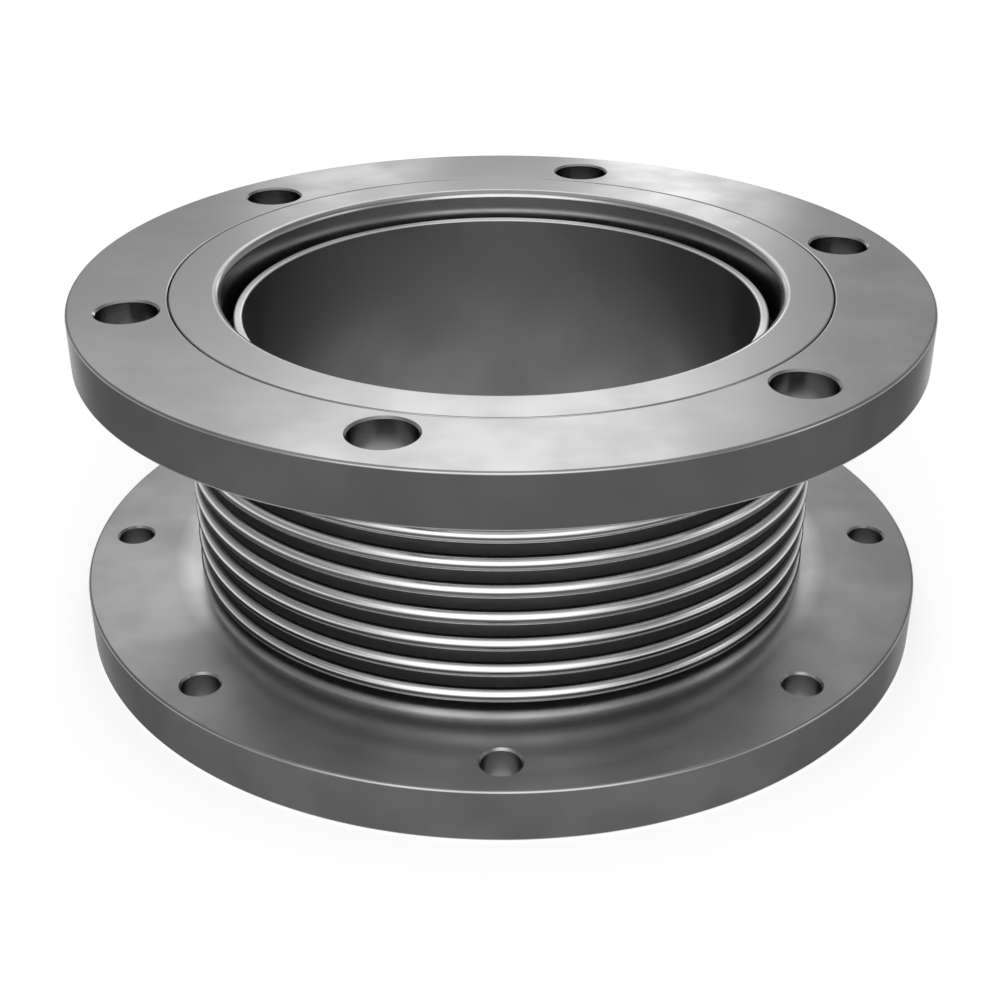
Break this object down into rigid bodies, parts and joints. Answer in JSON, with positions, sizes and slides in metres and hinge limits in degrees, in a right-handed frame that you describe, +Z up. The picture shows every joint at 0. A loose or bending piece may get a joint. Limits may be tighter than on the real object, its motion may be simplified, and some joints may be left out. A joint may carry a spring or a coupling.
{
  "type": "exhaust bellows",
  "caption": "Flanged metal exhaust bellows: thin U-shaped convolutions between a thick fixed flange and a loose lap flange, round an inner flow liner.",
  "frame": {"origin": "centre of the fixed flange's bottom face, on the surface that the part stands on", "axes": "+Z up along the gas bore, from the fixed flange to the loose flange; +X through a bolt hole of the fixed flange"},
  "size_m": [0.258, 0.258, 0.1035],
  "materials": {
    "turned_flange": "satin, machined",
    "turned_stub": "satin, machined",
    "bellows_sheet": "bright rolled sheet",
    "liner_sheet": "dull rolled sheet",
    "weld_bead": "as welded"
  },
  "bodies": {
    "fixed_end": {"fixed_flange": "turned_flange", "flow_liner": "liner_sheet", "bellows": "bellows_sheet", "lower_weld": "weld_bead"},
    "moving_end": {"stub_end": "turned_stub", "upper_weld": "weld_bead"},
    "loose_flange": {"loose_flange": "turned_flange"}
  },
  "joints": [
    {"name": "bellows_stroke", "type": "slide", "parent": "fixed_end", "child": "moving_end", "axis": [0, 0, 1], "range_m": [-0.007, 0.005], "stiffness_N_per_m": 150000, "springref_m": 0.0002, "deforming": ["bellows"]},
    {"name": "flange_swivel", "type": "hinge", "parent": "moving_end", "child": "loose_flange", "pos_m": [0, 0, 0.09], "axis": [0, 0, 1], "continuous": true}
  ]
}
